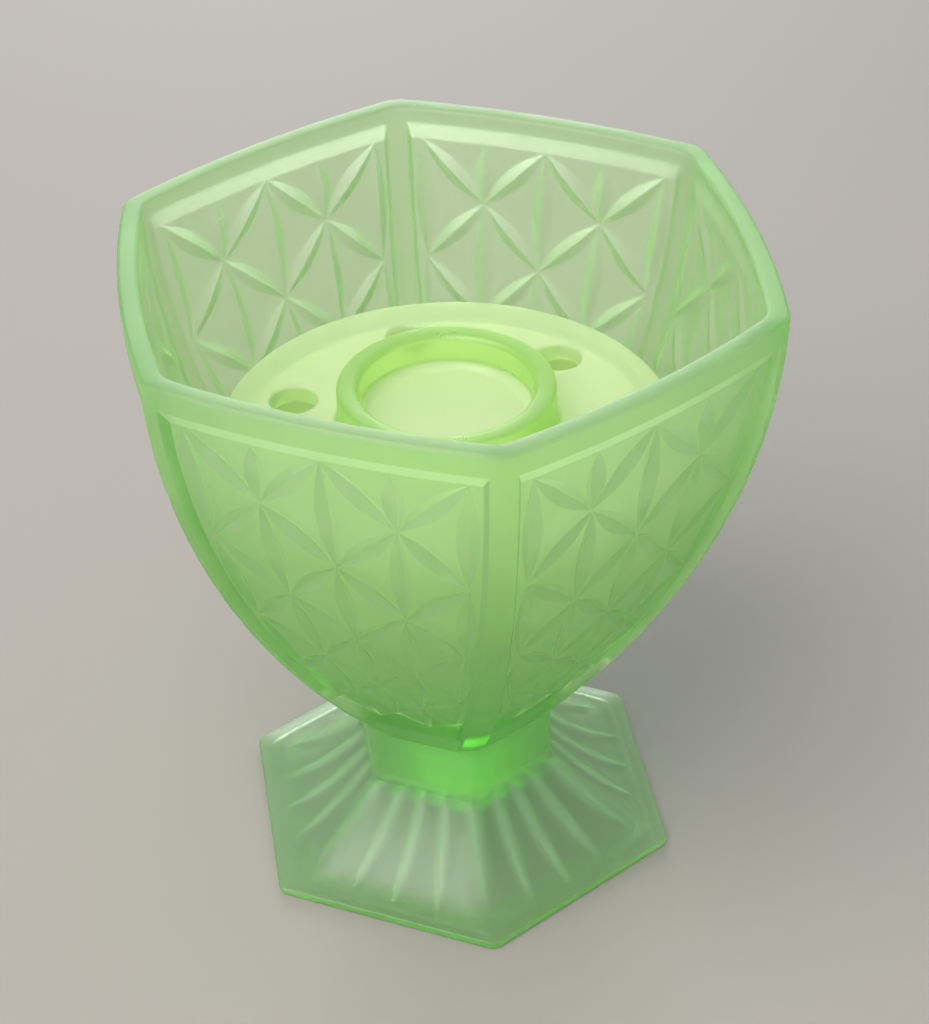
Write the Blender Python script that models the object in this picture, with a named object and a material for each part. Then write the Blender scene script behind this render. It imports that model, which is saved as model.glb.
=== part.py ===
"""Footed hexagonal flower vase in frosted uranium glass, with its lift-out flower frog.

The vase is one pressing: a hollow foot, a hexagonal collar, and a bowl whose six
bowed panels are recessed between corner posts and a rim band. The frog is a second
pressing: a pierced round plate with a raised cup and a skirt that rests on the
bowl's tapering walls. It lifts straight out along the vase's axis.

Units are metres. The origin is at the centre of the foot, where it rests, +Z is up,
flat sides face +X and -X, and corners point along +Y and -Y.
"""

import math

import bmesh
import bpy

MM = 0.001
SIDES = 6

# The bowl's outside: a corner radius for every height.
BOWL_BOTTOM_Z = 32.5 * MM
RIM_Z = 144.0 * MM
BOWL_BOTTOM_R = 22.8 * MM
RIM_R = 71.0 * MM
PROFILE_RISE = 1.92
PROFILE_SWELL = 0.954
BOW = 0.0386  # how far a side bows outward, as a share of the corner radius
CORNER_CUT = 2.6 * MM  # how far each side stops short of the sharp corner
CORNER_ROUND = 0.5 * MM  # how far a post stands proud of its flat

# The panels.
BAND_BOTTOM_Z = 139.1 * MM
PANEL_TOP_Z = 135.9 * MM
PANEL_RECESS = 1.5 * MM
POST_BEVEL = 1.6 * MM
PANEL_BOTTOM_Z = 51.0 * MM
SCOOP_TOP_Z = 49.0 * MM
SCOOP = 2.2 * MM  # how much deeper than the panels the hollows below them are
SCOOP_FADE = 9.0 * MM  # the height over which they run out above the collar

# The wall and the inside of the bowl.
LIP_WALL = 4.2 * MM
WALL_GROWTH = 1.0 * MM
WALL_GROWTH_SPAN = 50.0 * MM
LIP_ROUND = 1.1 * MM
INNER_CORNER_CUT = 6.0 * MM
FLOOR_Z = 43.3 * MM

# The collar and the foot.
COLLAR_R = 23.2 * MM
COLLAR_BOTTOM_Z = 19.3 * MM
COLLAR_CUT = 1.2 * MM
FOOT_R = 51.0 * MM
FOOT_EDGE_Z = 1.7 * MM
FOOT_CUT = 1.8 * MM
EDGE_ROUND = 0.6 * MM
FOOT_HOLLOW_POWER = 1.7
REST_RING = 3.0 * MM
FOOT_WALL = 2.3 * MM  # at the ring, growing towards the collar
FOOT_WALL_GROWTH = 5.0 * MM

# The flower frog.
SEAT_Z = 88.3 * MM
GAP = 0.3 * MM
FROG_EDGE_R = 47.4 * MM
FROG_EDGE_ROUND = 0.6 * MM
FROG_PLATE_Z = 104.8 * MM
FROG_PLATE = 4.5 * MM
FROG_SKIRT = 4.2 * MM
CUP_R = 22.7 * MM
CUP_WALL = 4.6 * MM
CUP_TOP_Z = 113.9 * MM
CUP_OUTER_ROUND = 0.8 * MM
CUP_INNER_ROUND = 1.5 * MM
CUP_FLOOR_Z = 106.1 * MM
STEM_HOLES = 6
STEM_HOLE_R = 5.0 * MM
STEM_CIRCLE_R = 33.6 * MM
STEM_ANGLE = math.radians(35.7)
FROG_FACETS = 48


def clear_scene():
    for obj in list(bpy.data.objects):
        bpy.data.objects.remove(obj, do_unlink=True)


def glass(name, colour, roughness):
    material = bpy.data.materials.new(name)
    material.use_nodes = True
    shader = material.node_tree.nodes["Principled BSDF"]
    shader.inputs["Base Color"].default_value = (*colour, 1.0)
    shader.inputs["Roughness"].default_value = roughness
    shader.inputs["Metallic"].default_value = 0.0
    return material


def add_object(name, bm, material, place=(0.0, 0.0, 0.0)):
    mesh = bpy.data.meshes.new(name)
    bmesh.ops.recalc_face_normals(bm, faces=bm.faces)
    bm.to_mesh(mesh)
    bm.free()
    mesh.materials.append(material)
    mesh.shade_smooth()
    mesh.set_sharp_from_angle(angle=math.radians(25))
    obj = bpy.data.objects.new(name, mesh)
    obj.location = place
    bpy.context.scene.collection.objects.link(obj)
    return obj


# --- The vase -----------------------------------------------------------------


def bowl_radius(z):
    """The corner radius of the bowl's outside at height z."""
    drop = (RIM_Z - z) / (RIM_Z - BOWL_BOTTOM_Z)
    swell = (1.0 - drop**PROFILE_RISE) ** PROFILE_SWELL
    return BOWL_BOTTOM_R + (RIM_R - BOWL_BOTTOM_R) * swell


def wall(z):
    """How far the bowl's inside lies within its outside at height z."""
    return LIP_WALL + WALL_GROWTH * ((RIM_Z - z) / WALL_GROWTH_SPAN) ** 2


def inside_flat(z):
    """The distance from the axis to the middle of a side of the bowl's inside."""
    radius = bowl_radius(z)
    return radius * math.cos(math.pi / SIDES) + BOW * radius - wall(z)


def hexagon(radius, height, cut, bow=0.0, inset=0.0, recess=0.0, proud=0.0):
    """One loop of points: nine along each side, then one on the corner after it."""
    apothem = radius * math.cos(math.pi / SIDES)
    half = (radius - inset / math.cos(math.pi / SIDES)) / 2
    end = half - cut
    edge = end - POST_BEVEL
    places = (-end, -end + 0.2 * MM, -edge, -edge / 2, 0.0, edge / 2, edge, end - 0.2 * MM, end)
    points = []
    for side in range(SIDES):
        turn = side * math.tau / SIDES
        for place in places:
            out = apothem - inset + bow * (1.0 - (place / half) ** 2)
            if abs(place) <= edge:
                out -= recess
            points.append(turned(out, place, height, turn))
        corner = (apothem - inset) / math.cos(math.pi / SIDES) - cut / 2 + proud
        points.append(turned(corner, 0.0, height, turn + math.pi / SIDES))
    return points


def turned(out, along, z, angle):
    x = out * math.cos(angle) - along * math.sin(angle)
    y = out * math.sin(angle) + along * math.cos(angle)
    return (x, y, z)


def foot_height(radius):
    """The height of the foot's top, which sweeps up to the collar."""
    reach = (FOOT_R - radius) / (FOOT_R - COLLAR_R)
    return FOOT_EDGE_Z + (COLLAR_BOTTOM_Z - FOOT_EDGE_Z) * reach**FOOT_HOLLOW_POWER


def underside_height(radius):
    """The foot's hollow follows its top down to the ring, and is flat inside the collar."""
    below = max(radius, COLLAR_R)
    return foot_height(below) - FOOT_WALL - FOOT_WALL_GROWTH * (1.0 - below / FOOT_R)


def underside_loops():
    """From under the collar out to the ring that the vase stands on."""
    ring_inside = FOOT_R - EDGE_ROUND - REST_RING
    loops = []
    for share in (0.3, 0.45, 0.52, 0.6, 0.7, 0.8, 0.9, 0.96):
        radius = ring_inside * share
        loops.append(hexagon(radius, underside_height(radius), FOOT_CUT * share))
    loops.append(hexagon(ring_inside, 0.0, FOOT_CUT))
    return loops


def foot_loops():
    loops = [hexagon(FOOT_R - EDGE_ROUND, 0.0, FOOT_CUT)]
    loops.append(hexagon(FOOT_R, EDGE_ROUND, FOOT_CUT))
    for share in (1.0, 0.985, 0.9, 0.8, 0.7, 0.6, 0.53, 0.49):
        radius = FOOT_R * share
        loops.append(hexagon(radius, foot_height(radius), FOOT_CUT * share))
    return loops


def collar_loops():
    return [
        hexagon(COLLAR_R, COLLAR_BOTTOM_Z, COLLAR_CUT),
        hexagon(COLLAR_R - 0.2 * MM, BOWL_BOTTOM_Z, COLLAR_CUT),
    ]


def bowl_outside_loops():
    loops = []
    for z in (33.5 * MM, 37.5 * MM, 42.0 * MM, SCOOP_TOP_Z):
        fade = min(1.0, (z - BOWL_BOTTOM_Z) / SCOOP_FADE)
        loops.append(bowl_loop(z, (PANEL_RECESS + SCOOP) * fade))
    heights = (57.5, 65.0, 73.5, 83.0, 93.5, 105.5, 118.5, 128.5)
    for z in [PANEL_BOTTOM_Z] + [h * MM for h in heights] + [PANEL_TOP_Z]:
        loops.append(bowl_loop(z, PANEL_RECESS))
    loops.append(bowl_loop(BAND_BOTTOM_Z, 0.0))
    loops.append(bowl_loop(RIM_Z - LIP_ROUND, 0.0))
    return loops


def bowl_loop(z, recess):
    radius = bowl_radius(z)
    return hexagon(radius, z, CORNER_CUT, bow=BOW * radius, recess=recess, proud=CORNER_ROUND)


def lip_loops():
    """Over the rim: the two edges of its flat top, inside its rounded outer edge."""
    loops = []
    for inset in (LIP_ROUND, LIP_WALL - LIP_ROUND):
        loops.append(hexagon(RIM_R, RIM_Z, CORNER_CUT, bow=BOW * RIM_R, inset=inset))
    return loops


def bowl_inside_loops():
    loops = []
    heights = [142.9, 135.5, 124.5, 114.5, 103.5, SEAT_Z / MM, 82.5, 72.5, 63.5, 55.5, 50.0]
    for z in [h * MM for h in heights]:
        radius = bowl_radius(z)
        deep = min(1.0, (RIM_Z - z) / WALL_GROWTH_SPAN)
        cut = CORNER_CUT + (INNER_CORNER_CUT - CORNER_CUT) * deep
        loops.append(hexagon(radius, z, cut, bow=BOW * radius, inset=wall(z)))
    for radius, rise in ((25.5 * MM, 3.4 * MM), (20.0 * MM, 1.3 * MM), (10.0 * MM, 0.2 * MM)):
        loops.append(hexagon(radius, FLOOR_Z + rise, INNER_CORNER_CUT * radius / COLLAR_R))
    return loops


def skin(bm, loops):
    """Closed bands of faces from loop to loop, with a flat cap on the first and the last."""
    rings = [[bm.verts.new(point) for point in loop] for loop in loops]
    count = len(rings[0])
    for lower, upper in zip(rings, rings[1:]):
        for i in range(count):
            after = (i + 1) % count
            bm.faces.new((lower[i], lower[after], upper[after], upper[i]))
    bm.faces.new(rings[0])
    bm.faces.new(rings[-1])


def make_vase():
    bm = bmesh.new()
    outside = underside_loops() + foot_loops() + collar_loops() + bowl_outside_loops()
    skin(bm, outside + lip_loops() + bowl_inside_loops())
    return add_object("vase_body", bm, glass("frosted_green_glass", (0.24, 0.52, 0.17), 0.45))


# --- The flower frog ------------------------------------------------------------


def arc(centre_r, centre_z, radius, start, end, steps):
    """Points of a round stretch in the turned profile, angles in degrees from outward."""
    points = []
    for step in range(steps + 1):
        angle = math.radians(start + (end - start) * step / steps)
        points.append((centre_r + radius * math.cos(angle), centre_z + radius * math.sin(angle)))
    return points


def frog_profile():
    """Half of the frog's section as (radius, height), from the cup's floor round to below it."""
    seat_r = inside_flat(SEAT_Z) - GAP
    bowl = CUP_R - CUP_WALL
    inner, outer = CUP_INNER_ROUND, CUP_OUTER_ROUND
    cup = [(bowl * 0.5, CUP_FLOOR_Z), (bowl * 0.85, CUP_FLOOR_Z + 0.5 * MM)]
    cup.append((bowl * 0.98, CUP_FLOOR_Z + 2.4 * MM))
    cup += arc(bowl + inner, CUP_TOP_Z - inner, inner, 180, 90, 3)
    cup += arc(CUP_R - outer, CUP_TOP_Z - outer, outer, 90, 0, 3)
    plate = [(CUP_R + 0.1 * MM, FROG_PLATE_Z + 0.9 * MM), (CUP_R + 1.0 * MM, FROG_PLATE_Z)]
    plate.append((FROG_EDGE_R - FROG_EDGE_ROUND, FROG_PLATE_Z))
    plate.append((FROG_EDGE_R, FROG_PLATE_Z - FROG_EDGE_ROUND))
    skirt = [(seat_r, SEAT_Z), (seat_r - 0.8 * MM, SEAT_Z - 0.6 * MM)]
    skirt.append((seat_r - FROG_SKIRT + 0.6 * MM, SEAT_Z - 0.6 * MM))
    under = FROG_PLATE_Z - FROG_PLATE
    below = [(FROG_EDGE_R - FROG_SKIRT - 0.2 * MM, under - 2.4 * MM)]
    below.append((FROG_EDGE_R - FROG_SKIRT - 0.9 * MM, under - 0.7 * MM))
    below.append((FROG_EDGE_R - FROG_SKIRT - 2.6 * MM, under))
    return cup + plate + skirt + below


def turned_body(bm, profile, top_z, bottom_z, facets):
    """A profile turned about the axis, closed on the axis at top_z and bottom_z."""
    top = bm.verts.new((0.0, 0.0, top_z))
    bottom = bm.verts.new((0.0, 0.0, bottom_z))
    lines = []
    for facet in range(facets):
        angle = math.tau * facet / facets
        across = (math.cos(angle), math.sin(angle))
        lines.append([bm.verts.new((r * across[0], r * across[1], z)) for r, z in profile])
    for facet, line in enumerate(lines):
        after = lines[(facet + 1) % facets]
        bm.faces.new((top, line[0], after[0]))
        bm.faces.new((bottom, after[-1], line[-1]))
        for i in range(len(profile) - 1):
            bm.faces.new((line[i], line[i + 1], after[i + 1], after[i]))


def add_stem_hole_cutters():
    """Six round cutters in one object, which the frog's Boolean takes away."""
    bm = bmesh.new()
    for hole in range(STEM_HOLES):
        angle = STEM_ANGLE + hole * math.tau / STEM_HOLES
        made = bmesh.ops.create_cone(
            bm,
            cap_ends=True,
            segments=20,
            radius1=STEM_HOLE_R,
            radius2=STEM_HOLE_R,
            depth=4 * FROG_PLATE,
        )
        centre = (STEM_CIRCLE_R * math.cos(angle), STEM_CIRCLE_R * math.sin(angle), 0.0)
        bmesh.ops.translate(bm, verts=made["verts"], vec=centre)
    height = FROG_PLATE_Z - FROG_PLATE / 2
    cutter = add_object("stem_hole_cutter", bm, glass("cutter", (1, 0, 0), 1.0), (0, 0, height))
    cutter.hide_render = True
    cutter.display_type = "WIRE"
    return cutter


def make_flower_frog():
    bm = bmesh.new()
    profile = [(r, z - SEAT_Z) for r, z in frog_profile()]
    under = FROG_PLATE_Z - FROG_PLATE
    turned_body(bm, profile, CUP_FLOOR_Z - SEAT_Z, under - SEAT_Z, FROG_FACETS)
    material = glass("pale_green_glass", (0.50, 0.76, 0.32), 0.35)
    frog = add_object("flower_frog", bm, material, (0.0, 0.0, SEAT_Z))
    cut = frog.modifiers.new("stem holes", "BOOLEAN")
    cut.operation = "DIFFERENCE"
    cut.object = add_stem_hole_cutters()
    return frog


clear_scene()
make_vase()
make_flower_frog()
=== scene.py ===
"""Looks of the footed hexagonal vase and its flower frog, in frosted uranium glass.

Both CAD nodes are replaced by meshes with the real relief: a lattice of leaf-shaped
cuts on the six panels, rays under the hollow foot, and rounded lips and holes. Each
is one closed mesh of one glass, and the finish of its surfaces is written on the mesh.
Lengths are metres, in the frame's own axes. A side is worked out once, facing +X,
and turned six times.
"""

import math

import bmesh
import bpy
import numpy as np
from mathutils import Matrix, Vector
from mathutils.geometry import delaunay_2d_cdt


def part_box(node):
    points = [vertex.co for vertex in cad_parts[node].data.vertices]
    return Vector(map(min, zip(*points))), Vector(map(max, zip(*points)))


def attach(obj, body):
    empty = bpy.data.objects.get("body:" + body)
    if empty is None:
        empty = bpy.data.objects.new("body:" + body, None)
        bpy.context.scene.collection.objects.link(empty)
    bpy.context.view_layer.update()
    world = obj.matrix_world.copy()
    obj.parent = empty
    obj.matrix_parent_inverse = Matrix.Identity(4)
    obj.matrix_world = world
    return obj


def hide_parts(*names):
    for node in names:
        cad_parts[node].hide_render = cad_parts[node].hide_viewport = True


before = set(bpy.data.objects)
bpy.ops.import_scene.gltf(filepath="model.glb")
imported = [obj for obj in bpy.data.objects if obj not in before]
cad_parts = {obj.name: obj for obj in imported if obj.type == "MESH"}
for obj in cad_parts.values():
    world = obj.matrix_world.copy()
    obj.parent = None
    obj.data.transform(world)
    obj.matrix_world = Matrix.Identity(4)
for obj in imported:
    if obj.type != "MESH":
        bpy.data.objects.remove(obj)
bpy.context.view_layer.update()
VASE_LOW, VASE_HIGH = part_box("vase_body")
FROG_LOW, FROG_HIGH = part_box("flower_frog")

MM = 0.001
SIDES = 6
COS30 = math.cos(math.pi / 6)
SIN30 = 0.5

# The bowl's outside, as in the CAD.
CORNER_CUT = 2.6 * MM
CORNER_ROUND = 0.5 * MM
RIM_Z = VASE_HIGH.z
RIM_R = VASE_HIGH.y + CORNER_CUT / 2 - CORNER_ROUND
BOWL_BOTTOM_Z = 32.5 * MM
BOWL_BOTTOM_R = 22.8 * MM
PROFILE_RISE = 1.92
PROFILE_SWELL = 0.954
BOW = 0.0386

# The frame round each panel, and the hollows below it.
BAND_BOTTOM_Z = 139.1 * MM
PANEL_TOP_Z = 135.9 * MM
PANEL_RECESS = 1.5 * MM
POST_BEVEL = 1.4 * MM
POST_SHOULDER = 0.2 * MM
SCOOP = 2.2 * MM
SCOOP_FADE = 9.0 * MM
SCOOP_STEP = 1.6 * MM
SCOOP_FINISH_TOP_Z = 37.5 * MM  # the hollows' finish ends here, the panels' begins

# The lattice of cuts: nine rows that shrink as the panel narrows, and five columns.
ROWS = 9
ROW_PITCH = 0.2315  # of the panel's width at that height
COLUMN_SPAN = 0.92  # how far out the outer columns stand, of the panel's half width
LEAF_HALF_WIDTH = 0.038  # of the panel's width
LEAF_SLOPE = 0.65
LEAF_STEPS = 12
FILL_PITCH = 2.4 * MM
FILL_CLEARANCE = 0.9 * MM
FILL_MARGIN = 0.8 * MM
DOWN_STEPS = 64
ACROSS_STEPS = 41

# The wall and the inside.
LIP_WALL = 4.2 * MM
WALL_GROWTH = 1.0 * MM
WALL_GROWTH_SPAN = 50.0 * MM
LIP_ROUND = 1.1 * MM
INSIDE_TOP_Z = RIM_Z - 3.5 * MM
INSIDE_LOOPS = 34
INNER_LIP_CUT = CORNER_CUT + 1.0 * MM
INNER_CORNER_CUT = 6.0 * MM
FLOOR_Z = 43.3 * MM
FLOOR_CURVE = 7.2 * MM
FLOOR_CURVE_STEPS = 12

# The collar and the foot.
COLLAR_R = 23.2 * MM
COLLAR_BOTTOM_Z = 19.3 * MM
COLLAR_CUT = 1.2 * MM
COLLAR_FILLET = 0.9 * MM
COLLAR_TOP_Z = BOWL_BOTTOM_Z - 0.8 * MM
FOOT_R = 51.0 * MM
FOOT_EDGE_Z = 1.7 * MM
FOOT_CUT = 1.8 * MM
FOOT_RIDGE_CUT = 6.0 * MM
EDGE_ROUND = 0.6 * MM
FOOT_HOLLOW_POWER = 1.7
REST_RING = 3.0 * MM
RING_STEP = 0.5 * MM  # how far the hollow stays above the floor
UNDERSIDE_LOOPS = 60
FOOT_WALL = 2.3 * MM
FOOT_WALL_GROWTH = 5.0 * MM
RAYS = 24
RAY_START = 14.0 * MM
RAY_END = 40.0 * MM
RAY_HALF_WIDTH = 2.6 * MM
RAY_DEPTH = 1.4 * MM

# The flower frog.
SEAT_Z = 88.3 * MM
GAP = 0.3 * MM
FROG_EDGE_R = 47.4 * MM
FROG_EDGE_ROUND = 0.6 * MM
CUP_TOP_Z = FROG_HIGH.z
FROG_PLATE_Z = 104.8 * MM
FROG_PLATE = 4.5 * MM
FROG_SKIRT = 4.2 * MM
CUP_R = 22.7 * MM
CUP_WALL = 4.6 * MM
CUP_OUTER_ROUND = 0.8 * MM
CUP_INNER_ROUND = 1.5 * MM
CUP_FLOOR_Z = 106.1 * MM
CUP_FLOOR_ROUND = 2.6 * MM
CUP_FILLET = 1.3 * MM
SKIRT_ROUND = 0.6 * MM
UNDER_ROUND = 2.4 * MM
FROG_FACETS = 144
STEM_HOLES = 6
STEM_HOLE_R = 5.0 * MM
STEM_HOLE_FACETS = 40
STEM_ROUND = 0.9 * MM
STEM_CIRCLE_R = 33.6 * MM
STEM_ANGLE = math.radians(35.7)

# The studio's floor, and the air left between it and the frosted foot.
FLOOR_COLOUR = (0.38, 0.35, 0.315)
FLOOR_GAP = 0.2 * MM

# The colour that each glass gives to light on its way through, and the colour of a painted glow: it
# stands for the light that uranium glass gives off, and also makes the glass brighter than the lamps
# alone would.
GREEN_DEPTH = (0.42, 0.90, 0.08)
PALE_DEPTH = (0.68, 0.90, 0.26)
PAINTED_GLOW = (0.52, 1.0, 0.25)

# The outside's frosting grows rougher up to this height. All of it is a little patchy.
FROST_HEIGHT = 80.0 * MM
FROST_PATCHES = 0.04

# Each surface's roughness and its clearness, the share of light that it lets through.
INSIDE_FINISH = (0.40, 0.96)
LIP_FINISH = (0.50, 0.92)
SCOOP_FINISH = (0.60, 0.72)
COLLAR_FINISH = (0.50, 0.84)
UNDERSIDE_FINISH = (0.45, 0.94)
FROG_FINISH = (0.40, 0.68)
CUP_FINISH = (0.30, 0.90)
RAY_CLOUDING = 0.60  # how much clearness a ray has lost in its middle

# The outside's roughness at the floor, and what panels and leaves have gained at FROST_HEIGHT.
FOOT_ROUGHNESS = 0.32
PANEL_ROUGHENING = 0.16
LEAF_ROUGHENING = 0.24
PANEL_CLEARNESS = 0.93
LEAF_CLEARNESS = 0.89

# The tint of the light that each frosted surface lets through or scatters back. The bowl's and the
# frog's are the glass's own colour; the others are painted shade.
BOWL_TINT = (0.92, 0.99, 0.84)
# Painted shade: dark green in the hollows below the panels.
SCOOP_PAINTED_SHADE = (0.50, 0.80, 0.36)
# Painted shade: a deeper green on the collar, for light's long path through thick glass.
COLLAR_PAINTED_SHADE = (0.73, 0.87, 0.61)
# Painted shade: the foot is darker, as if it lay in the bowl's shadow, and its edge is darker and
# greener still.
FOOT_PAINTED_SHADE = (0.76, 0.87, 0.77)
EDGE_PAINTED_SHADE = (0.62, 0.92, 0.50)
FROG_TINT = (0.98, 0.94, 0.78)
# Painted shade: a deeper green on the cup's wall, for light's long path through it.
CUP_PAINTED_SHADE = (0.82, 0.93, 0.55)

# The vase's surfaces that are finished differently.
OUTSIDE, LEAF, INSIDE, UNDERSIDE, LIP = range(5)

# The camera, at the photograph's viewing angle.
VIEW_AZIMUTH = math.radians(-8.43)
VIEW_ELEVATION = math.radians(36.31)
VIEW_ROLL = math.radians(-1.35)
VIEW_DISTANCE = 512.5 * MM
VIEW_HEIGHT = 81.0 * MM
VIEW_SIDESTEP = 3.1 * MM
VIEW_LENS = 84.38


# --- Shapes of the vase ----------------------------------------------------------


def bowl_radius(z):
    drop = (RIM_Z - z) / (RIM_Z - BOWL_BOTTOM_Z)
    swell = max(0.0, 1.0 - drop**PROFILE_RISE) ** PROFILE_SWELL
    return BOWL_BOTTOM_R + (RIM_R - BOWL_BOTTOM_R) * swell


def wall(z):
    return LIP_WALL + WALL_GROWTH * ((RIM_Z - z) / WALL_GROWTH_SPAN) ** 2


def inside_flat(z):
    radius = bowl_radius(z)
    return radius * COS30 + BOW * radius - wall(z)


def stations():
    """Places round one side: up to 1 along the side itself, and up to 2 on to the corner's middle."""
    along = [i / 20 for i in range(-20, 21)]
    post = [1.0 + i / 5 for i in range(1, 6)]
    return [-x for x in reversed(post)] + along + post


STATIONS = stations()


def side_end(radius, cut, bow, inset=0.0):
    """The last point of a side before its corner, as (out, along)."""
    half = (radius - inset / COS30) / 2
    end = half - cut
    return radius * COS30 - inset + bow * (1.0 - (end / half) ** 2), end


def post_width(radius, cut, bow, inset=0.0):
    """How far a side's end lies from the line through the axis and the corner."""
    out, end = side_end(radius, cut, bow, inset)
    return out * SIN30 - end * COS30


def section(station, radius, cut, bow=0.0, inset=0.0, proud=None):
    """A point of a six-sided section as (out, along). A corner is a flat post that stands
    proud by that much in its middle, or is rounded when proud is None."""
    out_end, end = side_end(radius, cut, bow, inset)
    half = (radius - inset / COS30) / 2
    if abs(station) <= 1.0:
        along = station * end
        return radius * COS30 - inset + bow * (1.0 - (along / half) ** 2), along
    share = abs(station) - 1.0
    if proud is None:
        slope = -2.0 * bow * end / half**2
        reach = (out_end * SIN30 - end * COS30) / (COS30 - slope * SIN30)
        tip = (out_end + slope * reach, end + reach)
        far = (out_end * SIN30 + end * COS30, out_end * COS30 - end * SIN30)
        t = share / 2
        out = (1 - t) ** 2 * out_end + 2 * t * (1 - t) * tip[0] + t * t * far[0]
        along = (1 - t) ** 2 * end + 2 * t * (1 - t) * tip[1] + t * t * far[1]
    else:
        away = out_end * COS30 + end * SIN30 + proud * share * (2.0 - share)
        beside = (1.0 - share) * (out_end * SIN30 - end * COS30)
        out = away * COS30 + beside * SIN30
        along = away * SIN30 - beside * COS30
    return out, math.copysign(along, station)


def loop(z, radius, cut, bow=0.0, inset=0.0, proud=None):
    """A closed loop of points round the vase. z is a number, or a function of the point's x and y."""
    points = []
    for side in range(SIDES):
        turn = side * math.tau / SIDES
        for station in STATIONS[1:]:
            out, along = section(station, radius, cut, bow, inset, proud)
            x = out * math.cos(turn) - along * math.sin(turn)
            y = out * math.sin(turn) + along * math.cos(turn)
            points.append((x, y, z(x, y) if callable(z) else z))
    return points


def foot_height(radius):
    reach = (FOOT_R - radius) / (FOOT_R - COLLAR_R)
    return FOOT_EDGE_Z + (COLLAR_BOTTOM_Z - FOOT_EDGE_Z) * reach**FOOT_HOLLOW_POWER


def ray_depth(x, y):
    """How deep the foot's rays cut into its underside at this point."""
    radius = math.hypot(x, y)
    span = (radius - RAY_START) / (RAY_END - RAY_START)
    if not 0.0 < span < 1.0:
        return 0.0
    step = math.tau / RAYS
    turn = (math.atan2(y, x) - math.pi / SIDES) % step
    off_line = radius * min(turn, step - turn)
    swell = math.sin(math.pi * span) ** 0.7
    across = min(1.0, off_line / (RAY_HALF_WIDTH * swell))
    return RAY_DEPTH * min(1.0, 2.0 * swell) * (0.5 + 0.5 * math.cos(math.pi * across))


def ridge_cut(share):
    """The foot's corners are tight at its edge and at the collar, and rounder between."""
    between = math.sin(math.pi * min(1.0, (1.0 - share) / (1.0 - COLLAR_R / FOOT_R)))
    return FOOT_CUT * share + (FOOT_RIDGE_CUT - FOOT_CUT) * max(0.0, between)


def underside_height(radius):
    """The foot's hollow follows its top down to the ring, and is flat inside the collar."""
    below = max(radius, COLLAR_R)
    ceiling = foot_height(below) - FOOT_WALL - FOOT_WALL_GROWTH * (1.0 - below / FOOT_R)
    return max(RING_STEP, ceiling)


def rayed_height(radius):
    """The height of the underside's points round this radius, with the rays cut into it."""
    flat = underside_height(radius)
    return lambda x, y: flat + ray_depth(x, y)


def underside_loops():
    ring_inside = FOOT_R - EDGE_ROUND - REST_RING
    loops = []
    for share in np.linspace(0.06, 0.97, UNDERSIDE_LOOPS):
        radius = ring_inside * share
        loops.append(loop(rayed_height(radius), radius, ridge_cut(share)))
    loops.append(loop(0.12 * MM, ring_inside - 0.2 * MM, FOOT_CUT))
    loops.append(loop(0.0, ring_inside, FOOT_CUT))
    return loops


def foot_loops():
    loops = [loop(0.0, FOOT_R - EDGE_ROUND, FOOT_CUT)]
    for step in range(1, 4):
        angle = math.pi / 2 * step / 3
        radius = FOOT_R - EDGE_ROUND * (1.0 - math.sin(angle))
        loops.append(loop(EDGE_ROUND * (1.0 - math.cos(angle)), radius, FOOT_CUT))
    loops.append(loop(FOOT_EDGE_Z - 0.35 * MM, FOOT_R, FOOT_CUT))
    loops.append(loop(FOOT_EDGE_Z - 0.1 * MM, FOOT_R - 0.1 * MM, FOOT_CUT))
    for share in np.linspace(0.993, 0.47, 30):
        radius = FOOT_R * share
        loops.append(loop(foot_height(radius), radius, ridge_cut(share)))
    return loops


def collar_loops():
    return [
        loop(COLLAR_BOTTOM_Z + 0.2 * MM, COLLAR_R + 0.35 * MM, COLLAR_CUT),
        loop(COLLAR_BOTTOM_Z + COLLAR_FILLET, COLLAR_R, COLLAR_CUT),
        loop(COLLAR_TOP_Z - 4.0 * MM, COLLAR_R - 0.1 * MM, COLLAR_CUT),
        loop(COLLAR_TOP_Z, COLLAR_R - 0.2 * MM, CORNER_CUT),
    ]


def lip_loops():
    """Over the rim: its rounded outer edge, its flat top and its rounded inner edge."""
    turns = [math.radians(22.5 * step) for step in range(1, 5)]
    outer = [(LIP_ROUND * (1.0 - math.cos(t)), LIP_ROUND * math.sin(t)) for t in turns]
    inner = [(LIP_WALL - inset, rise) for inset, rise in reversed(outer)]
    loops = []
    for inset, rise in outer + inner + [(LIP_WALL, 0.0)]:
        z = RIM_Z - LIP_ROUND + rise
        loops.append(loop(z, bowl_radius(z), CORNER_CUT, BOW * RIM_R, inset, CORNER_ROUND))
    return loops


def bowl_inside_loops():
    loops = []
    for z in np.linspace(INSIDE_TOP_Z, FLOOR_Z + FLOOR_CURVE, INSIDE_LOOPS):
        radius = bowl_radius(z)
        deep = min(1.0, (RIM_Z - z) / WALL_GROWTH_SPAN)
        cut = INNER_LIP_CUT + (INNER_CORNER_CUT - CORNER_CUT) * deep
        loops.append(loop(z, radius, cut, BOW * radius, wall(z)))
    curve_z = FLOOR_Z + FLOOR_CURVE
    edge = bowl_radius(curve_z) - wall(curve_z) / COS30
    for step in range(1, FLOOR_CURVE_STEPS):
        angle = math.pi / 2 * step / FLOOR_CURVE_STEPS
        radius = edge * math.cos(angle) ** 0.8
        rise = FLOOR_CURVE * (1.0 - math.sin(angle))
        loops.append(loop(FLOOR_Z + rise, radius, INNER_CORNER_CUT * radius / edge))
    return loops


# --- The relief of one side --------------------------------------------------------


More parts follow.
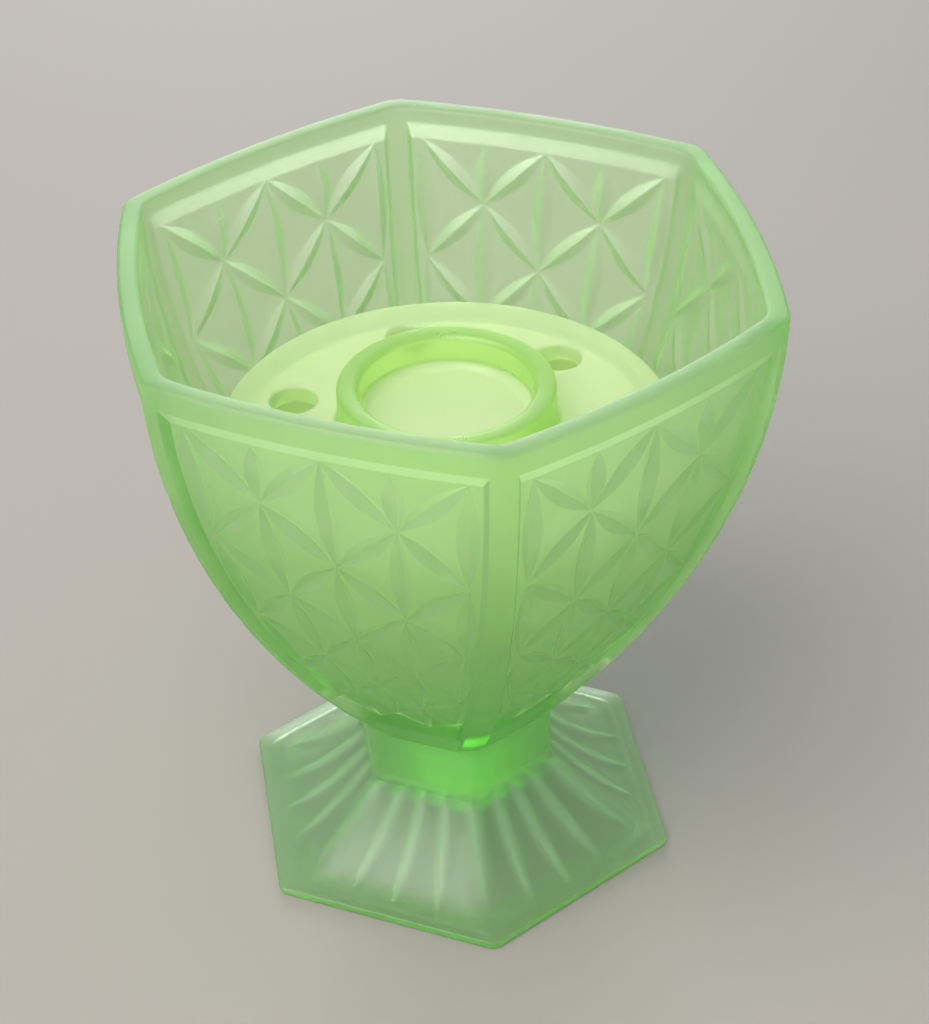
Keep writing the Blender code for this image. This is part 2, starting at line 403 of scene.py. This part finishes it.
class Side:
    """The outside of one side of the bowl, unrolled: a is the place along it and s the
    length of its curve down from the rim. Both run in metres."""

    def __init__(self):
        self.top = RIM_Z - LIP_ROUND
        heights = np.linspace(self.top, BOWL_BOTTOM_Z, 1200)
        radii = np.array([bowl_radius(z) for z in heights])
        steps = np.hypot(np.diff(heights), np.diff(radii * (COS30 + BOW)))
        self.heights = heights
        self.lengths = np.concatenate([[0.0], np.cumsum(steps)])
        self.bottom = self.lengths[-1]
        self.rows = self.row_lengths()

    def z(self, s):
        return float(np.interp(s, self.lengths, self.heights))

    def s(self, z):
        return float(np.interp(-z, -self.heights, self.lengths))

    def end(self, s):
        return bowl_radius(self.z(s)) / 2 - CORNER_CUT

    def corner(self, s):
        radius = bowl_radius(self.z(s))
        return self.end(s) + post_width(radius, CORNER_CUT, BOW * radius)

    def edge(self, s):
        return self.end(s) - POST_SHOULDER - POST_BEVEL

    def row_lengths(self):
        rows = [self.s(PANEL_TOP_Z)]
        for _ in range(ROWS):
            rows.append(rows[-1] + ROW_PITCH * 2 * self.edge(rows[-1]))
        return rows

    def place(self, station, s):
        if abs(station) <= 1.0:
            return station * self.end(s)
        share = abs(station) - 1.0
        return math.copysign(self.end(s) + share * (self.corner(s) - self.end(s)), station)

    def point(self, a, s):
        """The smooth surface, before any relief."""
        z = self.z(s)
        radius = bowl_radius(z)
        end = self.end(s)
        if abs(a) <= end:
            station = a / end
        else:
            station = math.copysign(1.0 + min(1.0, (abs(a) - end) / (self.corner(s) - end)), a)
        out, along = section(station, radius, CORNER_CUT, BOW * radius, proud=CORNER_ROUND)
        return Vector((out, along, z))

    def inward(self, a, s):
        step = 0.05 * MM
        a_in = math.copysign(max(abs(a) - step, 0.0), a)
        low, high = max(s - step, 0.0), min(s + step, self.bottom)
        across = self.point(a_in + step, s) - self.point(a_in - step, s)
        down = self.point(a_in, high) - self.point(a_in, low)
        return across.cross(down).normalized()

    def star(self, column, row):
        s = self.rows[row]
        return np.array((column / 2 * COLUMN_SPAN * self.edge(s), s))

    def zigzag(self, a, drop=0.0):
        """The length down at which the panel ends, at place a."""
        columns = [self.star(c, ROWS - 1 + c % 2) for c in range(-2, 3)]
        return float(np.interp(a, [p[0] for p in columns], [p[1] for p in columns])) + drop

    def leaves(self):
        """Every cut of the lattice as (start, end): uprights, and both ways across."""
        cuts = []
        for column in range(-2, 3):
            odd = column % 2
            if odd:
                cuts.append((np.array((self.star(column, 1)[0], self.rows[0])), self.star(column, 1)))
            for row in range(odd, ROWS - 1, 2):
                cuts.append((self.star(column, row), self.star(column, row + 2)))
        for column in range(-2, 2):
            for row in range(ROWS - 1):
                here = column if (row - column) % 2 == 0 else column + 1
                there = 2 * column + 1 - here
                cuts.append((self.star(here, row), self.star(there, row + 1)))
        return cuts


def half_width(side, start, end, share):
    middle = (start[1] + end[1]) / 2
    widest = LEAF_HALF_WIDTH * 2 * side.edge(middle)
    long = np.hypot(*(end - start))
    widest = min(widest, 0.16 * long)
    return widest * math.sin(math.pi * share)


def leaf_lines(side, start, end):
    """A cut's middle line and its two edges, as lists of points."""
    across = np.array((end[1] - start[1], start[0] - end[0]))
    across /= np.hypot(*across)
    middle, left, right = [], [], []
    for step in range(LEAF_STEPS + 1):
        share = step / LEAF_STEPS
        point = start + (end - start) * share
        offset = across * half_width(side, start, end, share)
        middle.append(point)
        left.append(point - offset)
        right.append(point + offset)
    return middle, left, right


def leaf_depth(side, a, s, cuts):
    """The depth of the lattice's cuts at a point: a V across each leaf."""
    deepest = 0.0
    for start, end in cuts:
        line = end - start
        offset = np.array((a, s)) - start
        share = float(offset @ line / (line @ line))
        if not 0.0 < share < 1.0:
            continue
        width = half_width(side, start, end, share)
        away = float(np.hypot(*(offset - line * share)))
        deepest = max(deepest, LEAF_SLOPE * (width - away))
    return deepest


def lattice_depth(side, a, s, cuts):
    inside = side.rows[0] < s < side.rows[-1] and abs(a) < side.edge(s)
    return leaf_depth(side, a, s, cuts) if inside else 0.0


def frame_depth(side, a, s):
    """The depth of the recessed panel and of the hollow below it, without the lattice."""
    end = side.end(s) - POST_SHOULDER
    across = min(1.0, max(0.0, (end - abs(a)) / POST_BEVEL))
    band, top = side.s(BAND_BOTTOM_Z), side.s(PANEL_TOP_Z)
    down = min(1.0, max(0.0, (s - band) / (top - band)))
    below = min(1.0, max(0.0, (s - side.zigzag(a)) / SCOOP_STEP))
    fade = min(1.0, (side.z(s) - BOWL_BOTTOM_Z) / SCOOP_FADE)
    return (PANEL_RECESS * min(across, down) + SCOOP * min(across, below)) * fade


def side_outline(side):
    """Lines that the side's triangles have to follow, each a list of (a, s). Those down
    the panel stop short of the bottom, which has to match the collar point for point."""
    downs = np.linspace(0.0, side.bottom, DOWN_STEPS)
    band, top = side.s(BAND_BOTTOM_Z), side.s(PANEL_TOP_Z)
    lines = []
    for s in (0.0, side.bottom):
        lines.append([(side.place(x, s), s) for x in STATIONS])
    for sign in (-1, 1):
        lines.append([(sign * side.corner(s), s) for s in downs])
        lines.append([(sign * side.end(s), s) for s in downs])
        outer = [band] + [s for s in downs[:-1] if s > band]
        lines.append([(sign * (side.end(s) - POST_SHOULDER), s) for s in outer])
        inner = [top] + [s for s in downs[:-1] if s > top]
        lines.append([(sign * side.edge(s), s) for s in inner])
        corner = (sign * (side.end(band) - POST_SHOULDER), band)
        lines.append([corner, (sign * side.edge(top), top)])
    shares = np.linspace(-1.0, 1.0, ACROSS_STEPS)
    lines.append([(x * (side.end(band) - POST_SHOULDER), band) for x in shares])
    lines.append([(x * side.edge(top), top) for x in shares])
    width = side.edge(side.rows[-2])
    for drop in (0.0, SCOOP_STEP):
        lines.append([(x * width, side.zigzag(x * width, drop)) for x in shares])
    return lines


def fill_points(side, used):
    """A loose grid that lets flat stretches follow the side's curve, clear of the lines."""
    points = []
    for s in np.arange(FILL_PITCH, side.bottom - FILL_PITCH, FILL_PITCH):
        reach = side.corner(s) - FILL_MARGIN
        count = max(2, int(2 * reach / FILL_PITCH))
        for a in np.linspace(-reach, reach, count):
            if np.min(np.hypot(used[:, 0] - a, used[:, 1] - s)) > FILL_CLEARANCE:
                points.append((a, s))
    return points


def side_mesh():
    """Points and triangles of one side's outside, facing +X, and which triangles are in a leaf."""
    side = Side()
    cuts = side.leaves()
    lines = side_outline(side)
    for start, end in cuts:
        lines.extend(leaf_lines(side, start, end))
    flat, edges = [], []
    for line in lines:
        first = len(flat)
        flat.extend(tuple(point) for point in line)
        edges.extend((first + i, first + i + 1) for i in range(len(line) - 1))
    flat.extend(fill_points(side, np.array(flat)))
    scaled = [Vector((a / MM, s / MM)) for a, s in flat]
    made = delaunay_2d_cdt(scaled, edges, [], 1, 1e-4, False)
    places = [(place.x * MM, place.y * MM) for place in made[0]]
    points = []
    for a, s in places:
        depth = frame_depth(side, a, s) + lattice_depth(side, a, s, cuts)
        points.append(side.point(a, s) + side.inward(a, s) * depth)
    in_leaf = []
    for triangle in made[2]:
        a, s = np.mean([places[i] for i in triangle], axis=0)
        in_leaf.append(lattice_depth(side, a, s, cuts) > 0.0)
    return points, made[2], in_leaf


# --- Meshes -------------------------------------------------------------------------


def bridge(bm, loops, cap_first=False, cap_last=False, surface=OUTSIDE):
    """Bands of faces from loop to loop, marked as part of that surface."""
    rings = [[bm.verts.new(point) for point in ring] for ring in loops]
    count = len(rings[0])
    faces = []
    for lower, upper in zip(rings, rings[1:]):
        for i in range(count):
            after = (i + 1) % count
            faces.append(bm.faces.new((lower[i], lower[after], upper[after], upper[i])))
    if cap_first:
        faces.append(bm.faces.new(rings[0]))
    if cap_last:
        faces.append(bm.faces.new(rings[-1]))
    for face in faces:
        face.material_index = surface


def etch(mesh, finish):
    """Writes the finish at each corner of each face, for the glass's shader to read. Until
    then a face's material_index holds its surface's number."""
    rough = mesh.attributes.new("roughness", "FLOAT", "CORNER")
    clear = mesh.attributes.new("clearness", "FLOAT", "CORNER")
    # The tint holds the glass's own colour, and painted shade in places.
    tint_and_painted_shade = mesh.attributes.new("tint_and_painted_shade", "FLOAT_COLOR", "CORNER")
    for face in mesh.polygons:
        for corner in face.loop_indices:
            point = mesh.vertices[mesh.loops[corner].vertex_index].co
            roughness, clearness, colour = finish(face.material_index, point)
            rough.data[corner].value = roughness
            clear.data[corner].value = clearness
            tint_and_painted_shade.data[corner].color = (*colour, 1.0)
        face.material_index = 0


def vase_finish(surface, point):
    """Roughness, clearness and tint at a point of one of the vase's surfaces, the tint being painted
    shade on the foot, its edge, the collar and the hollows.
    """
    if surface == INSIDE:
        return *INSIDE_FINISH, BOWL_TINT
    if surface == LIP:
        return *LIP_FINISH, BOWL_TINT
    tint_and_painted_shade = BOWL_TINT
    # Painted shade: the foot is darkened as if shadowed by the bowl, and its edge more so.
    if point.z < COLLAR_BOTTOM_Z:
        tint_and_painted_shade = FOOT_PAINTED_SHADE if point.z > FOOT_EDGE_Z else EDGE_PAINTED_SHADE
    if surface == UNDERSIDE:
        roughness, clearness = UNDERSIDE_FINISH
        clouding = RAY_CLOUDING * ray_depth(point.x, point.y) / RAY_DEPTH
        return roughness, clearness - clouding, tint_and_painted_shade
    # Painted shade: the hollows below the panels are painted dark green.
    if COLLAR_TOP_Z < point.z < SCOOP_FINISH_TOP_Z:
        return *SCOOP_FINISH, SCOOP_PAINTED_SHADE
    # Painted shade: the collar is painted a deeper green, for light's long path through its thick
    # glass.
    if COLLAR_BOTTOM_Z < point.z <= COLLAR_TOP_Z:
        return *COLLAR_FINISH, COLLAR_PAINTED_SHADE
    share = min(1.0, max(0.0, point.z / FROST_HEIGHT))
    if surface == LEAF:
        return FOOT_ROUGHNESS + LEAF_ROUGHENING * share, LEAF_CLEARNESS, tint_and_painted_shade
    return FOOT_ROUGHNESS + PANEL_ROUGHENING * share, PANEL_CLEARNESS, tint_and_painted_shade


def frog_finish(surface, point):
    """The same for the frog, whose cup has a clearer wall than the rest, painted a deeper green for
    light's long path through it.
    """
    reach = math.hypot(point.x, point.y)
    in_wall = CUP_R - CUP_WALL - 0.1 * MM < reach < CUP_R + 1.0 * MM
    # Painted shade: the cup's wall is painted a deeper green.
    if in_wall and point.z > FROG_PLATE_Z:
        return *CUP_FINISH, CUP_PAINTED_SHADE
    return *FROG_FINISH, FROG_TINT


def mesh_object(name, bm, material, sharp):
    bmesh.ops.remove_doubles(bm, verts=bm.verts, dist=2e-6)
    bmesh.ops.recalc_face_normals(bm, faces=bm.faces)
    open_edges = sum(1 for edge in bm.edges if not edge.is_manifold)
    print(name, len(bm.faces), "faces,", open_edges, "open edges")
    mesh = bpy.data.meshes.new(name)
    bm.to_mesh(mesh)
    bm.free()
    mesh.materials.append(material)
    mesh.shade_smooth()
    mesh.set_sharp_from_angle(angle=math.radians(sharp))
    obj = bpy.data.objects.new(name, mesh)
    bpy.context.scene.collection.objects.link(obj)
    return obj


def make_vase(material):
    bm = bmesh.new()
    points, triangles, in_leaf = side_mesh()
    for side in range(SIDES):
        turn = Matrix.Rotation(side * math.tau / SIDES, 3, "Z")
        verts = [bm.verts.new(turn @ point) for point in points]
        for triangle, leaf in zip(triangles, in_leaf):
            face = bm.faces.new([verts[i] for i in triangle])
            face.material_index = LEAF if leaf else OUTSIDE
    low = loop(BOWL_BOTTOM_Z, BOWL_BOTTOM_R, CORNER_CUT, BOW * BOWL_BOTTOM_R, 0.0, CORNER_ROUND)
    top_z = RIM_Z - LIP_ROUND
    top_radius = bowl_radius(top_z)
    high = loop(top_z, top_radius, CORNER_CUT, BOW * top_radius, 0.0, CORNER_ROUND)
    foot = foot_loops()
    under = underside_loops()
    bridge(bm, under, cap_first=True, surface=UNDERSIDE)
    bridge(bm, under[-1:] + foot + collar_loops() + [low])
    lip = lip_loops()
    bridge(bm, [high] + lip, surface=LIP)
    bridge(bm, lip[-1:] + bowl_inside_loops(), cap_last=True, surface=INSIDE)
    vase = mesh_object("vase_glass", bm, material, 15)
    etch(vase.data, vase_finish)
    return vase


def arc(centre_r, centre_z, radius, start, end, steps):
    points = []
    for step in range(steps + 1):
        angle = math.radians(start + (end - start) * step / steps)
        points.append((centre_r + radius * math.cos(angle), centre_z + radius * math.sin(angle)))
    return points


def frog_profile():
    """Half of the frog's section, from the middle of the cup's floor round to below it."""
    seat_r = inside_flat(SEAT_Z) - GAP
    bowl = CUP_R - CUP_WALL
    floor = [(reach, CUP_FLOOR_Z) for reach in np.linspace(1.0 * MM, bowl - CUP_FLOOR_ROUND, 9)]
    floor += arc(bowl - CUP_FLOOR_ROUND, CUP_FLOOR_Z + CUP_FLOOR_ROUND, CUP_FLOOR_ROUND, -80, 0, 7)
    inner, outer = CUP_INNER_ROUND, CUP_OUTER_ROUND
    cup = arc(bowl + inner, CUP_TOP_Z - inner, inner, 180, 90, 7)
    cup += arc(CUP_R - outer, CUP_TOP_Z - outer, outer, 90, 0, 5)
    fillet = arc(CUP_R + CUP_FILLET, FROG_PLATE_Z + CUP_FILLET, CUP_FILLET, 180, 270, 5)
    plate = [(r, FROG_PLATE_Z) for r in np.linspace(CUP_R + 3.0 * MM, FROG_EDGE_R - 2.0 * MM, 8)]
    edge_round = FROG_EDGE_ROUND
    edge = arc(FROG_EDGE_R - edge_round, FROG_PLATE_Z - edge_round, edge_round, 90, 0, 4)
    skirt = [(seat_r, SEAT_Z + 12.0 * MM), (seat_r, SEAT_Z + 6.0 * MM), (seat_r, SEAT_Z)]
    foot = arc(seat_r - SKIRT_ROUND, SEAT_Z, SKIRT_ROUND, -20, -90, 3)
    foot += arc(seat_r - FROG_SKIRT + SKIRT_ROUND, SEAT_Z, SKIRT_ROUND, -90, -180, 4)
    under = FROG_PLATE_Z - FROG_PLATE
    corner_r = FROG_EDGE_R - FROG_SKIRT - 2.6 * MM
    below = arc(corner_r, under - UNDER_ROUND, UNDER_ROUND, 0, 90, 6)
    below += [(r, under) for r in np.linspace(corner_r - 1.0 * MM, 1.0 * MM, 14)]
    return floor + cup + fillet + plate + edge + skirt + foot + below


def turned_body(bm, profile, facets):
    """Turns the profile, a list of (radius, height), about the axis and closes both ends."""
    lines = []
    for facet in range(facets):
        angle = math.tau * facet / facets
        across = (math.cos(angle), math.sin(angle))
        lines.append([bm.verts.new((r * across[0], r * across[1], z)) for r, z in profile])
    for facet, line in enumerate(lines):
        after = lines[(facet + 1) % facets]
        for i in range(len(profile) - 1):
            bm.faces.new((line[i], line[i + 1], after[i + 1], after[i]))
    bm.faces.new([line[0] for line in lines])
    bm.faces.new([line[-1] for line in lines])


def hole_cutter():
    """Six spools whose flared ends round the edges of the stem holes."""
    bm = bmesh.new()
    top, bottom = FROG_PLATE_Z, FROG_PLATE_Z - FROG_PLATE
    flare = STEM_HOLE_R + STEM_ROUND
    upper = arc(flare, top - STEM_ROUND, STEM_ROUND, 90, 180, 6)
    lower = arc(flare, bottom + STEM_ROUND, STEM_ROUND, 180, 270, 6)
    profile = [(flare, top + 3.0 * MM)] + upper + lower + [(flare, bottom - 3.0 * MM)]
    for hole in range(STEM_HOLES):
        angle = STEM_ANGLE + hole * math.tau / STEM_HOLES
        before = len(bm.verts)
        turned_body(bm, profile, STEM_HOLE_FACETS)
        bm.verts.ensure_lookup_table()
        centre = (STEM_CIRCLE_R * math.cos(angle), STEM_CIRCLE_R * math.sin(angle), 0.0)
        bmesh.ops.translate(bm, verts=bm.verts[before:], vec=centre)
    return mesh_object("hole_cutter", bm, None, 30)


def make_frog(material):
    """The turned body less its stem holes, which the Boolean leaves without the glass."""
    bm = bmesh.new()
    turned_body(bm, frog_profile(), FROG_FACETS)
    frog = mesh_object("flower_frog_glass", bm, material, 25)
    cutter = hole_cutter()
    cut = frog.modifiers.new("stem holes", "BOOLEAN")
    cut.operation = "DIFFERENCE"
    cut.object = cutter
    graph = bpy.context.evaluated_depsgraph_get()
    mesh = bpy.data.meshes.new_from_object(frog.evaluated_get(graph))
    frog.modifiers.clear()
    frog.data = mesh
    bpy.data.objects.remove(cutter)
    mesh.materials.clear()
    mesh.materials.append(material)
    mesh.shade_smooth()
    mesh.set_sharp_from_angle(angle=math.radians(25))
    etch(mesh, frog_finish)
    return frog


# --- Materials ------------------------------------------------------------------------


def noise(nodes, links, coordinates, scale, detail):
    node = nodes.new("ShaderNodeTexNoise")
    node.inputs["Scale"].default_value = scale
    node.inputs["Detail"].default_value = detail
    links.new(coordinates, node.inputs["Vector"])
    return node.outputs["Fac"]


def spread(nodes, links, source, start, end, low, high):
    """Takes what runs from start to end to the span from low to high."""
    node = nodes.new("ShaderNodeMapRange")
    for socket, value in (("From Min", start), ("From Max", end), ("To Min", low), ("To Max", high)):
        node.inputs[socket].default_value = value
    links.new(source, node.inputs["Value"])
    return node.outputs["Result"]


def attribute(nodes, name, output="Fac"):
    node = nodes.new("ShaderNodeAttribute")
    node.attribute_name = name
    return node.outputs[output]


def frost(nodes, links, place):
    """The roughness of the etched surface, a little patchy."""
    patches = noise(nodes, links, place, 90.0, 3.0)
    total = nodes.new("ShaderNodeMath")
    links.new(attribute(nodes, "roughness"), total.inputs[0])
    change = spread(nodes, links, patches, 0.3, 0.7, -FROST_PATCHES, FROST_PATCHES)
    links.new(change, total.inputs[1])
    return total.outputs["Value"]


def bump(nodes, links, height, strength, distance, below=None):
    """Raised grain, over the normal of the bump below it."""
    node = nodes.new("ShaderNodeBump")
    node.inputs["Strength"].default_value = strength
    node.inputs["Distance"].default_value = distance
    links.new(height, node.inputs["Height"])
    if below is not None:
        links.new(below, node.inputs["Normal"])
    return node.outputs["Normal"]


def frosted_glass(name, depth_colour, density, painted_glow_strength):
    """Acid-frosted glass: a fine etched grain over soft press marks, tinted by its depth, with a
    painted glow.
    """
    material = bpy.data.materials.new(name)
    material.use_nodes = True
    nodes, links = material.node_tree.nodes, material.node_tree.links
    shader = nodes["Principled BSDF"]
    # The base colour reads the tint, which holds painted shade on parts of the vase and on the cup's
    # wall.
    links.new(attribute(nodes, "tint_and_painted_shade", "Color"), shader.inputs["Base Color"])
    links.new(attribute(nodes, "clearness"), shader.inputs["Transmission Weight"])
    shader.inputs["IOR"].default_value = 1.52
    # A painted glow: emission for uranium glass's own light, set high enough to brighten the glass as
    # well.
    shader.inputs["Emission Color"].default_value = (*PAINTED_GLOW, 1.0)
    shader.inputs["Emission Strength"].default_value = painted_glow_strength
    place = nodes.new("ShaderNodeTexCoord").outputs["Object"]
    links.new(frost(nodes, links, place), shader.inputs["Roughness"])
    press = bump(nodes, links, noise(nodes, links, place, 140.0, 2.0), 0.35, 0.3 * MM)
    grain = bump(nodes, links, noise(nodes, links, place, 3200.0, 2.0), 0.25, 0.05 * MM, press)
    links.new(grain, shader.inputs["Normal"])
    depth = nodes.new("ShaderNodeVolumeAbsorption")
    depth.inputs["Color"].default_value = (*depth_colour, 1.0)
    depth.inputs["Density"].default_value = density
    output = nodes["Material Output"]
    links.new(depth.outputs["Volume"], output.inputs["Volume"])
    return material


def floor_material():
    material = bpy.data.materials.new("pale_floor")
    material.use_nodes = True
    nodes, links = material.node_tree.nodes, material.node_tree.links
    shader = nodes["Principled BSDF"]
    shader.inputs["Base Color"].default_value = (*FLOOR_COLOUR, 1.0)
    shader.inputs["Roughness"].default_value = 0.75
    return material


# --- The studio -------------------------------------------------------------------------


def make_floor():
    bm = bmesh.new()
    bmesh.ops.create_grid(bm, x_segments=1, y_segments=1, size=3.0)
    bmesh.ops.translate(bm, verts=bm.verts, vec=(0.0, 0.0, -FLOOR_GAP))
    floor = mesh_object("floor", bm, floor_material(), 30)


def area_light(name, place, target, size, power, colour):
    light = bpy.data.lights.new(name, "AREA")
    light.shape = "DISK"
    light.size = size
    light.energy = power
    light.color = colour
    obj = bpy.data.objects.new(name, light)
    obj.location = place
    aim = Vector(target) - Vector(place)
    obj.rotation_euler = aim.to_track_quat("-Z", "Y").to_euler()
    bpy.context.scene.collection.objects.link(obj)


def make_lights():
    world = bpy.data.worlds.new("studio")
    world.use_nodes = True
    background = world.node_tree.nodes["Background"]
    background.inputs["Color"].default_value = (0.86, 0.90, 1.0, 1.0)
    background.inputs["Strength"].default_value = 0.62
    bpy.context.scene.world = world
    middle = (0.0, 0.0, 0.07)
    area_light("key", (-0.5, -0.4, 1.1), middle, 1.1, 13.0, (1.0, 0.97, 0.92))
    area_light("back", (0.1, 1.3, 0.45), middle, 0.8, 8.0, (0.97, 0.99, 1.0))


def make_camera():
    back = Vector((
        math.sin(VIEW_AZIMUTH) * math.cos(VIEW_ELEVATION),
        -math.cos(VIEW_AZIMUTH) * math.cos(VIEW_ELEVATION),
        math.sin(VIEW_ELEVATION),
    ))
    right = (-back).cross(Vector((0, 0, 1))).normalized()
    up = right.cross(-back)
    place = Vector((0, 0, VIEW_HEIGHT)) + back * VIEW_DISTANCE + right * VIEW_SIDESTEP
    rolled_right = right * math.cos(VIEW_ROLL) + up * math.sin(VIEW_ROLL)
    rolled_up = up * math.cos(VIEW_ROLL) - right * math.sin(VIEW_ROLL)
    turn = Matrix((rolled_right, rolled_up, back)).transposed().to_4x4()
    camera = bpy.data.cameras.new("camera")
    camera.lens = VIEW_LENS
    camera.sensor_width = 36.0
    obj = bpy.data.objects.new("camera", camera)
    obj.matrix_world = Matrix.Translation(place) @ turn
    bpy.context.scene.collection.objects.link(obj)
    bpy.context.scene.camera = obj


def main():
    green = frosted_glass("frosted_green_glass", GREEN_DEPTH, density=66.0, painted_glow_strength=0.03)
    pale = frosted_glass("pale_green_glass", PALE_DEPTH, density=75.0, painted_glow_strength=0.08)
    vase = make_vase(green)
    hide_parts("vase_body")
    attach(vase, "vase")
    frog = make_frog(pale)
    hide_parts("flower_frog")
    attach(frog, "frog")
    make_floor()
    make_lights()
    make_camera()
    bpy.context.scene.view_settings.view_transform = "Standard"


main()
